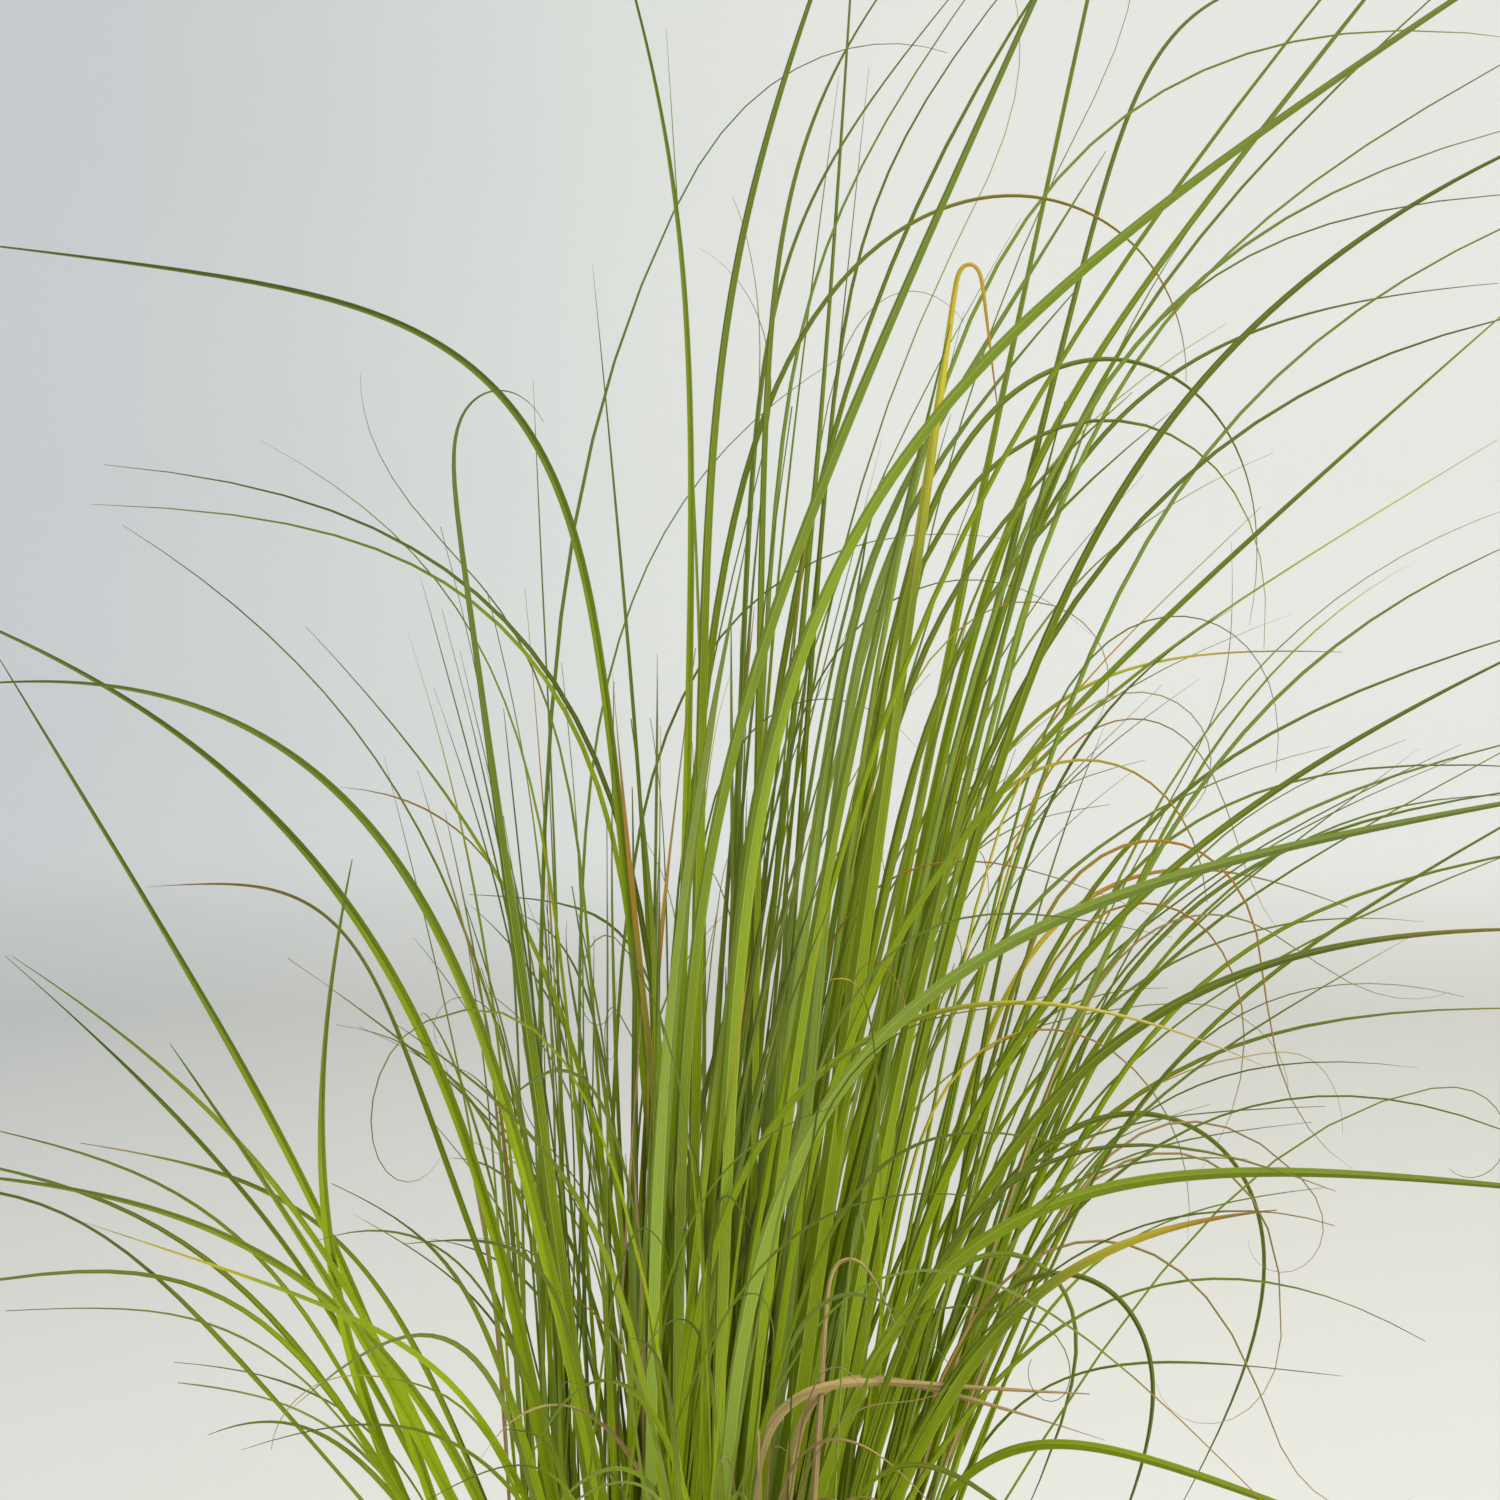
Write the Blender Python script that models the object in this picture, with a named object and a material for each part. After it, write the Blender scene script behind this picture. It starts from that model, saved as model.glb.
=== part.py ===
"""Ornamental grass clump in a plain round pot.

Metres, +Z up.  The origin is the centre of the pot's flat underside.
+X is the side the clump leans towards, -Y is the side it is looked at from.

Pieces: the pot, the potting soil, the crown of cut sheath bases, the broad
leaves one by one, and the tufts of fine leaves that grow between them.
"""
import math
from collections import namedtuple

import bmesh
import bpy
from mathutils import Vector

# ---------------------------------------------------------------- dimensions
POT_HEIGHT = 0.186
POT_FOOT_RADIUS = 0.066
POT_TOP_RADIUS = 0.094          # outside of the wall where it meets the rim
POT_WALL = 0.008
POT_FLOOR = 0.010
RIM_HEIGHT = 0.030
RIM_RADIUS = 0.100
EDGE = 0.0025                   # rounding of the pot's edges
DRAIN_HOLES = 4
DRAIN_RADIUS = 0.006
DRAIN_CIRCLE = 0.034            # the holes stand around the middle of the floor

GAP = 0.0004                    # air kept between neighbouring pieces
SOIL_TOP = 0.168
CROWN_RADIUS = 0.077
CROWN_TOP = 0.185

LEAF_THICKNESS = 0.0009
LEAF_FOLD = 0.16                # how far the edges stand up, share of width
TIP_SHARE = 0.16                # width left at the very tip
TUFT_RADIUS = 0.0052
TUFT_SIDES = 6
TURNS = 32                      # facets around the pot

# A leaf grows up from its foot on the crown.  Its angle from the upright
# starts at `lean` and gains `bend` by the tip; the gain is centred at `knee`
# (share of the length) and spread by `soft`.  `heading` is the compass
# direction it grows in, 0 = +X, 90 = +Y.  `face` turns its flat side, and
# `twist` is how much further that has turned by the tip.
Leaf = namedtuple("Leaf", "foot heading lean bend knee soft length width face twist")

LEAVES = {
    # arching to the left
    "leaf_left_01": Leaf((0.003, 0.014), 168, 6.5, 73, 0.63, 0.056, 0.645, 0.0050, 70, 20),
    "leaf_left_02": Leaf((-0.024, -0.021), 8, -7.8, 160, 0.955, 0.022, 0.425, 0.0052, 80, -30),
    "leaf_left_03": Leaf((-0.015, -0.036), 192, 12, 86, 0.773, 0.117, 0.415, 0.0046, 65, 30),
    "leaf_left_04": Leaf((-0.035, -0.006), 181, 9, 60, 0.66, 0.170, 0.420, 0.0050, 60, 20),
    "leaf_left_05": Leaf((-0.026, 0.022), 152, 18, 86, 0.82, 0.070, 0.300, 0.0038, 70, -20),
    "leaf_left_06": Leaf((-0.066, -0.012), 170, 18, 15, 0.35, 0.120, 0.360, 0.0040, 75, 20),
    "leaf_left_07": Leaf((-0.064, -0.030), 192, 27, -38, 0.55, 0.200, 0.260, 0.0046, 85, -30),
    "leaf_left_08": Leaf((-0.062, 0.006), 158, 29, 26, 0.50, 0.150, 0.290, 0.0036, 60, 20),
    "leaf_left_09": Leaf((-0.040, -0.052), 207, 20, 64, 0.545, 0.170, 0.285, 0.0034, 65, 30),
    "leaf_left_10": Leaf((-0.054, 0.030), 146, 28, 60, 0.52, 0.110, 0.275, 0.0034, 60, 20),
    "leaf_left_11": Leaf((-0.042, -0.060), 212, 26, 9, 0.50, 0.200, 0.235, 0.0040, 75, 20),
    # upright
    "leaf_upright_01": Leaf((-0.008, 0.026), 168, -1.5, 20, 0.80, 0.077, 0.600, 0.0036, 75, 25),
    "leaf_upright_02": Leaf((-0.002, -0.010), 345, 1, 21, 0.71, 0.063, 0.620, 0.0048, 70, 20),
    "leaf_upright_03": Leaf((0.0176, 0.000), 354, 0.8, 42, 0.82, 0.053, 0.600, 0.0042, 85, -20),
    "leaf_upright_04": Leaf((0.006, 0.034), 34, 2.4, 40, 0.75, 0.050, 0.610, 0.0030, 70, 20),
    "leaf_upright_05": Leaf((-0.004, -0.028), 346, 0.5, 25, 0.40, 0.080, 0.660, 0.0050, 65, 35),
    "leaf_upright_06": Leaf((0.026, 0.030), 26, 12, 2, 0.50, 0.100, 0.680, 0.0042, 75, 25),
    "leaf_upright_07": Leaf((0.007, -0.050), 351, 1, 57, 0.48, 0.077, 0.740, 0.0052, 60, 30),
    "leaf_upright_08": Leaf((0.030, 0.048), 24, 12, 29, 0.525, 0.055, 0.740, 0.0044, 70, 25),
    "leaf_upright_09": Leaf((0.021, 0.062), 18, 15, 78, 0.86, 0.034, 0.675, 0.0040, 70, 20),
    "leaf_upright_10": Leaf((-0.016, 0.008), 356, -1, 165, 0.93, 0.130, 0.610, 0.0046, 60, 30),
    "leaf_upright_11": Leaf((0.022, -0.014), 355, 7.3, 165, 0.905, 0.010, 0.505, 0.0040, 75, 10),
    # arching to the right
    "leaf_right_01": Leaf((0.030, 0.014), 14, 6.2, 186, 0.82, 0.075, 0.560, 0.0040, 60, 25),
    "leaf_right_02": Leaf((0.034, -0.018), 348, 11, 62, 0.73, 0.120, 0.600, 0.0044, 60, 30),
    "leaf_right_03": Leaf((0.040, 0.058), 22, 10.5, 72, 0.71, 0.085, 0.600, 0.0034, 60, 20),
    "leaf_right_04": Leaf((0.018, -0.030), 336, 4.4, 46, 0.42, 0.100, 0.520, 0.0034, 65, 30),
    "leaf_right_05": Leaf((0.044, 0.024), 24, 8.8, 82, 0.70, 0.075, 0.440, 0.0030, 60, 20),
    "leaf_right_06": Leaf((0.044, -0.004), 342, 8.4, 57, 0.51, 0.170, 0.430, 0.0042, 65, 25),
    "leaf_right_07": Leaf((0.008, -0.064), 338, 1, 79, 0.435, 0.110, 0.460, 0.0056, 70, 25),
    "leaf_right_08": Leaf((0.058, 0.042), 26, 12, 97, 0.69, 0.090, 0.370, 0.0032, 60, 20),
    "leaf_right_09": Leaf((0.038, -0.034), 336, 15, 76, 0.62, 0.150, 0.375, 0.0042, 65, 30),
    "leaf_right_10": Leaf((0.024, -0.052), 334, 13, 80, 0.42, 0.110, 0.370, 0.0052, 70, 20),
    "leaf_right_11": Leaf((0.042, -0.048), 324, 20, 64, 0.66, 0.180, 0.235, 0.0046, 70, 20),
    "leaf_right_12": Leaf((-0.006, -0.050), 343, 1, 112, 0.64, 0.140, 0.340, 0.0034, 65, 30),
    "leaf_right_13": Leaf((0.050, 0.010), 2, 14.5, 196, 0.575, 0.090, 0.390, 0.0030, 50, 20),
    "leaf_right_14": Leaf((0.052, -0.022), 338, 17, 188, 0.58, 0.077, 0.280, 0.0028, 50, 20),
    "leaf_right_15": Leaf((0.050, -0.036), 318, 27, 72, 0.33, 0.070, 0.290, 0.0036, 60, 20),
    # short and broad in the middle
    "leaf_middle_01": Leaf((-0.012, -0.064), 320, 0, 16, 0.60, 0.150, 0.360, 0.0056, 80, 20),
    "leaf_middle_02": Leaf((0.012, -0.038), 350, 5, 9, 0.50, 0.150, 0.420, 0.0056, 75, 25),
    "leaf_middle_03": Leaf((0.031, -0.030), 346, 10, 5, 0.50, 0.150, 0.400, 0.0052, 75, 25),
}

# A tuft is many fine leaves from one small patch of the crown.  The solid is
# a slim bundle that follows them from the patch out to their tips.
Tuft = namedtuple("Tuft", "foot heading lean bend knee soft length")

TUFTS = {
    "tuft_left_high": Tuft((-0.022, 0.038), 184, 4, 80, 0.72, 0.110, 0.500),
    "tuft_left_inner": Tuft((-0.044, 0.010), 178, 7, 14, 0.60, 0.150, 0.370),
    "tuft_left_thin": Tuft((-0.042, 0.054), 140, 1, 8, 0.60, 0.150, 0.450),
    "tuft_left_low": Tuft((-0.056, -0.044), 190, 30, 55, 0.50, 0.150, 0.280),
    "tuft_top": Tuft((0.004, 0.056), 30, 5, 28, 0.70, 0.120, 0.620),
    "tuft_right_high": Tuft((0.040, 0.048), 12, 13, 55, 0.70, 0.100, 0.640),
    "tuft_right_middle": Tuft((0.062, 0.026), 14, 17, 58, 0.60, 0.120, 0.460),
    "tuft_right_low": Tuft((0.066, -0.012), 354, 22, 75, 0.55, 0.150, 0.360),
    "tuft_back": Tuft((-0.004, 0.069), 92, 14, 66, 0.60, 0.140, 0.470),
    "tuft_back_left": Tuft((-0.028, 0.065), 126, 16, 64, 0.60, 0.150, 0.430),
    "tuft_back_right": Tuft((0.036, 0.070), 52, 15, 60, 0.60, 0.140, 0.480),
    "tuft_front": Tuft((0.004, -0.073), 275, 20, 86, 0.55, 0.150, 0.360),
    "tuft_front_left": Tuft((-0.024, -0.069), 244, 24, 70, 0.55, 0.150, 0.320),
    "tuft_front_right": Tuft((0.040, -0.062), 306, 22, 74, 0.55, 0.150, 0.360),
    "tuft_heart_left": Tuft((-0.014, -0.024), 310, 1, 9, 0.60, 0.150, 0.380),
    "tuft_heart_right": Tuft((0.012, 0.014), 20, 7, 10, 0.60, 0.150, 0.430),
    "tuft_dry": Tuft((0.026, -0.070), 294, 14, 100, 0.55, 0.120, 0.190),
}


# -------------------------------------------------------------------- helpers
def material(name, colour, roughness):
    """A plain Principled material."""
    mat = bpy.data.materials.new(name)
    mat.use_nodes = True
    shader = mat.node_tree.nodes["Principled BSDF"]
    shader.inputs["Base Color"].default_value = (*colour, 1.0)
    shader.inputs["Roughness"].default_value = roughness
    shader.inputs["Metallic"].default_value = 0.0
    mat.diffuse_color = (*colour, 1.0)
    return mat


def add_object(name, bm, mat, smooth=True):
    """Turn a finished bmesh into a named object with its faces pointing out."""
    bmesh.ops.recalc_face_normals(bm, faces=bm.faces)
    mesh = bpy.data.meshes.new(name)
    bm.to_mesh(mesh)
    bm.free()
    mesh.materials.append(mat)
    for polygon in mesh.polygons:
        polygon.use_smooth = smooth
    obj = bpy.data.objects.new(name, mesh)
    bpy.context.collection.objects.link(obj)
    return obj


def turned(name, profile, mat):
    """Spin a profile of (radius, height) points, axis to axis, about +Z."""
    bm = bmesh.new()
    points = [bm.verts.new((radius, 0.0, height)) for radius, height in profile]
    edges = [bm.edges.new(pair) for pair in zip(points, points[1:])]
    bmesh.ops.spin(bm, geom=points + edges, axis=(0, 0, 1), cent=(0, 0, 0),
                   angle=math.tau, steps=TURNS)
    bmesh.ops.remove_doubles(bm, verts=bm.verts, dist=1e-5)
    return add_object(name, bm, mat)


def sigmoid(value):
    return 1.0 / (1.0 + math.exp(-value))


def growth(leaf, steps, reach):
    """Stations (share, point, direction) along a leaf, and its sideways direction.

    `reach` is half the size of its foot, which leans with it and must still
    clear the crown."""
    low = sigmoid(-leaf.knee / leaf.soft)
    high = sigmoid((1.0 - leaf.knee) / leaf.soft)
    heading = math.radians(leaf.heading)
    outward = Vector((math.cos(heading), math.sin(heading), 0.0))
    side = Vector((-math.sin(heading), math.cos(heading), 0.0))

    def direction(share):
        gain = (sigmoid((share - leaf.knee) / leaf.soft) - low) / (high - low)
        angle = math.radians(leaf.lean + leaf.bend * gain)
        return outward * math.sin(angle) + Vector((0, 0, math.cos(angle)))

    finer = 8                    # short lengths walked between two stations
    foot = CROWN_TOP + 2 * GAP + reach * abs(math.sin(math.radians(leaf.lean)))
    point = Vector((*leaf.foot, foot))
    stations = [(0.0, point.copy(), direction(0.0))]
    for step in range(steps * finer):
        point += direction((step + 0.5) / (steps * finer)) * leaf.length / (steps * finer)
        if (step + 1) % finer == 0:
            share = (step + 1) / (steps * finer)
            stations.append((share, point.copy(), direction(share)))
    return stations, side


def leaf_width(share):
    """Width along a leaf, as a share of its widest."""
    return min(1.0, 0.6 + 1.6 * share) * (TIP_SHARE + (1 - TIP_SHARE) * (1 - share ** 2.4))


def tuft_width(share):
    """Radius along a tuft, as a share of its thickest."""
    return (0.62 + 0.38 * math.sin(math.pi * min(1.0, share * 1.6))) * (1 - 0.72 * share ** 2)


def sweep(name, rings, mat):
    """Extrude one closed ring after another into a single solid."""
    bm = bmesh.new()
    face = bm.faces.new([bm.verts.new(corner) for corner in rings[0]])
    for ring in rings[1:]:
        grown = bmesh.ops.extrude_face_region(bm, geom=[face])["geom"]
        if ring is not rings[1]:
            bmesh.ops.delete(bm, geom=[face], context="FACES_ONLY")
        face = next(part for part in grown if isinstance(part, bmesh.types.BMFace))
        for vert, corner in zip(face.verts, ring):
            vert.co = corner
    return add_object(name, bm, mat)


# ------------------------------------------------------------ pot, soil, crown
def inner_radius(height):
    """Inside of the pot wall at a height above the floor."""
    share = height / (POT_HEIGHT - RIM_HEIGHT)
    return POT_FOOT_RADIUS + (POT_TOP_RADIUS - POT_FOOT_RADIUS) * share - POT_WALL


def build_pot():
    collar = POT_HEIGHT - RIM_HEIGHT
    mouth = inner_radius(POT_HEIGHT)
    pot = turned("pot", [
        (0.0, 0.0),
        (POT_FOOT_RADIUS - EDGE, 0.0),
        (POT_FOOT_RADIUS, EDGE),
        (POT_TOP_RADIUS, collar),
        (RIM_RADIUS - 2 * EDGE, collar),
        (RIM_RADIUS - EDGE, collar + EDGE),
        (RIM_RADIUS, POT_HEIGHT - EDGE),
        (RIM_RADIUS - EDGE, POT_HEIGHT),
        (mouth + EDGE, POT_HEIGHT),
        (mouth, POT_HEIGHT - EDGE),
        (inner_radius(POT_FLOOR), POT_FLOOR),
        (0.0, POT_FLOOR),
    ], material("clay", (0.50, 0.19, 0.09), 0.85))
    for hole in range(DRAIN_HOLES):
        turn = math.tau * (hole + 0.5) / DRAIN_HOLES
        bpy.ops.mesh.primitive_cylinder_add(
            vertices=12, radius=DRAIN_RADIUS, depth=4 * POT_FLOOR,
            location=(DRAIN_CIRCLE * math.cos(turn), DRAIN_CIRCLE * math.sin(turn), 0.0))
        cutter = bpy.context.object
        cutter.name = f"drain_cutter_{hole + 1}"
        cutter.hide_render = True
        cutter.display_type = "WIRE"
        cut = pot.modifiers.new(f"drain_{hole + 1}", "BOOLEAN")
        cut.operation = "DIFFERENCE"
        cut.solver = "EXACT"
        cut.object = cutter


def build_soil():
    floor = POT_FLOOR + GAP
    turned("soil", [
        (0.0, floor),
        (inner_radius(floor) - 2 * GAP, floor),
        (inner_radius(SOIL_TOP - 0.004) - 2 * GAP, SOIL_TOP - 0.004),
        (inner_radius(SOIL_TOP) - 0.006, SOIL_TOP),
        (0.0, SOIL_TOP),
    ], material("soil", (0.045, 0.030, 0.020), 0.95))


def build_crown():
    base = SOIL_TOP + GAP
    turned("crown", [
        (0.0, base),
        (CROWN_RADIUS - 0.003, base),
        (CROWN_RADIUS, base + 0.005),
        (CROWN_RADIUS - 0.001, CROWN_TOP - 0.004),
        (CROWN_RADIUS - 0.003, CROWN_TOP),
        (0.0, CROWN_TOP),
    ], material("sheath_base", (0.36, 0.33, 0.13), 0.80))


# --------------------------------------------------------------------- leaves
def build_leaf(name, leaf, mat):
    stations, side = growth(leaf, 8 + round(abs(leaf.bend) / 11), 0.4 * leaf.width)
    rings = []
    for share, point, along in stations:
        turn = math.radians(leaf.face + leaf.twist * share)
        back = along.cross(side)
        across = side * math.cos(turn) + back * math.sin(turn)
        up = across.cross(along)
        half = leaf.width * leaf_width(share) / 2
        thick = LEAF_THICKNESS / 2 * (0.35 + 0.65 * leaf_width(share))
        edge = up * (LEAF_FOLD * 2 * half)
        rings.append([point - across * half + edge, point - up * thick,
                      point + across * half + edge, point + up * thick])
    sweep(name, rings, mat)


def build_tuft(name, tuft, mat):
    stations, side = growth(tuft, 7 + round(tuft.bend / 14), 0.7 * TUFT_RADIUS)
    rings = []
    for share, point, along in stations:
        back = along.cross(side)
        radius = TUFT_RADIUS * tuft_width(share)
        rings.append([point + (side * math.cos(turn) + back * math.sin(turn)) * radius
                      for turn in (math.tau * corner / TUFT_SIDES
                                   for corner in range(TUFT_SIDES))])
    sweep(name, rings, mat)


def main():
    for obj in list(bpy.data.objects):
        bpy.data.objects.remove(obj)
    build_pot()
    build_soil()
    build_crown()
    greens = {
        "leaf_left": material("leaf_green", (0.16, 0.29, 0.05), 0.50),
        "leaf_upright": material("leaf_deep_green", (0.11, 0.23, 0.06), 0.50),
        "leaf_right": material("leaf_yellow_green", (0.24, 0.34, 0.05), 0.50),
        "leaf_middle": material("leaf_pale_green", (0.25, 0.37, 0.15), 0.55),
    }
    fine = material("fine_leaf_green", (0.15, 0.24, 0.06), 0.60)
    dry = material("dry_leaf", (0.48, 0.34, 0.17), 0.75)
    for name, leaf in LEAVES.items():
        build_leaf(name, leaf, greens[name.rsplit("_", 1)[0]])
    for name, tuft in TUFTS.items():
        build_tuft(name, tuft, dry if name == "tuft_dry" else fine)


main()
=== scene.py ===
# %% [markdown]
# # A potted ornamental grass clump, leaf by leaf
# The object is a clump of narrow arching grass in a plain round clay pot.
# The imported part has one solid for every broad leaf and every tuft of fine
# leaves.  This lesson dresses that part: it grows thin blades along nearly the
# same lines, packs the crown with sheaths, fills the pot with crumbly soil,
# and gives each material its own veins, grain and wear.

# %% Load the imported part
import math
import random
from collections import namedtuple

import bmesh
import bpy
from mathutils import Matrix, Vector, noise


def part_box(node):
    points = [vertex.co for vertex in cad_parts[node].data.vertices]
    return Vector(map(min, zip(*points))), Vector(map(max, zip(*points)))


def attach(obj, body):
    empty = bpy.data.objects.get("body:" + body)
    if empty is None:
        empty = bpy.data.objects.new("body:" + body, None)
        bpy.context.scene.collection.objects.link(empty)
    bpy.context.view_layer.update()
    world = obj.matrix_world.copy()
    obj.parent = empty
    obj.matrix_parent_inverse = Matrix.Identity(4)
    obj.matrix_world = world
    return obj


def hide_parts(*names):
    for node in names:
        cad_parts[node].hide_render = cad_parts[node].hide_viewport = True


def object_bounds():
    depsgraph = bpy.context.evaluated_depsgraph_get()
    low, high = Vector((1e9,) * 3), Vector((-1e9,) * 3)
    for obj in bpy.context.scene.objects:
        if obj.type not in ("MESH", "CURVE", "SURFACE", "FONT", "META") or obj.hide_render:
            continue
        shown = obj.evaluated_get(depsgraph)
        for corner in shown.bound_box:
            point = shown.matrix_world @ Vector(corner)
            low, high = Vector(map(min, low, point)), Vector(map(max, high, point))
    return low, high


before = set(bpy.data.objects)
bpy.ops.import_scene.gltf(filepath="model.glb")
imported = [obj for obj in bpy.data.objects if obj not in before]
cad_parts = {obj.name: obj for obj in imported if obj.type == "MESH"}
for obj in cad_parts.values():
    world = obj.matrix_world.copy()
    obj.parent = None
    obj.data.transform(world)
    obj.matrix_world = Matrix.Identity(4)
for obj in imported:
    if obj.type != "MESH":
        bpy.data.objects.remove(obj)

cad_low, cad_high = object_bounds()
print("part:", len(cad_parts), "pieces,", [round(v, 3) for v in cad_high - cad_low], "m")

# %% [markdown]
# ## How a blade of grass grows
# A grass blade leaves the crown almost upright, then its own weight takes
# over and it arches.  It could be drawn as a hand-placed curve, but a rule is
# easier to repeat hundreds of times: the angle from the upright starts at
# `lean` and gains `bend` by the tip, and the gain is centred at `knee` and
# spread by `soft`.  `swing` carries the tip sideways and `curl` rolls up the
# last fifth, as a drying tip does.

# %% The growth rule
Leaf = namedtuple("Leaf", "foot heading lean bend knee soft length width face twist swing curl dry",
                  defaults=(60, 20, 0, 0, None))
crown_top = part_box("crown")[1].z
foot_height = crown_top + 0.0008


def sigmoid(value):
    return 1.0 / (1.0 + math.exp(-value))


def angles(leaf, share):
    """Angle from the upright and compass heading at a share of the length, in radians."""
    low = sigmoid(-leaf.knee / leaf.soft)
    high = sigmoid((1.0 - leaf.knee) / leaf.soft)
    gain = (sigmoid((share - leaf.knee) / leaf.soft) - low) / (high - low)
    rolled = leaf.curl * max(0.0, share / 0.2 - 4.0) ** 1.6
    return (math.radians(leaf.lean + leaf.bend * gain + rolled),
            math.radians(leaf.heading + leaf.swing * share ** 2))


def stations(leaf, steps, fine=160):
    """Shares of the length that crowd together where the leaf turns."""
    efforts, before = [0.0], angles(leaf, 0.0)[0]
    for step in range(1, fine + 1):
        tilt = angles(leaf, step / fine)[0]
        efforts.append(efforts[-1] + 1 / fine + 0.45 * abs(tilt - before))
        before = tilt
    shares, spot = [0.0], 0
    for step in range(1, steps):
        wanted = efforts[-1] * step / steps
        while efforts[spot + 1] < wanted:
            spot += 1
        shares.append((spot + (wanted - efforts[spot]) / (efforts[spot + 1] - efforts[spot])) / fine)
    return shares + [1.0]


def grow(leaf, shares, height=foot_height, finer=5):
    """Frames (point, across, up) at the given shares of a leaf's length."""
    point = Vector((*leaf.foot, height))
    frames = []
    for share, following in zip(shares, shares[1:] + [1.0]):
        tilt, compass = angles(leaf, share)
        outward = Vector((math.cos(compass), math.sin(compass), 0.0))
        side = Vector((-math.sin(compass), math.cos(compass), 0.0))
        along = outward * math.sin(tilt) + Vector((0, 0, math.cos(tilt)))
        turn = math.radians(leaf.face + leaf.twist * share)
        across = side * math.cos(turn) + along.cross(side) * math.sin(turn)
        frames.append((point.copy(), across, across.cross(along)))
        gap = (following - share) / finer
        for part in range(finer):
            tilt, compass = angles(leaf, share + (part + 0.5) * gap)
            point += Vector((math.sin(tilt) * math.cos(compass), math.sin(tilt) * math.sin(compass),
                             math.cos(tilt))) * leaf.length * gap
    return frames


# %% [markdown]
# ## The leaves of this clump
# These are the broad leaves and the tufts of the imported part, in metres and
# degrees.  Some broad leaves arch a few millimetres to a few centimetres away
# from their solid.  Heading 0 is the side the clump leans to, and 90 is the
# back.

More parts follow.
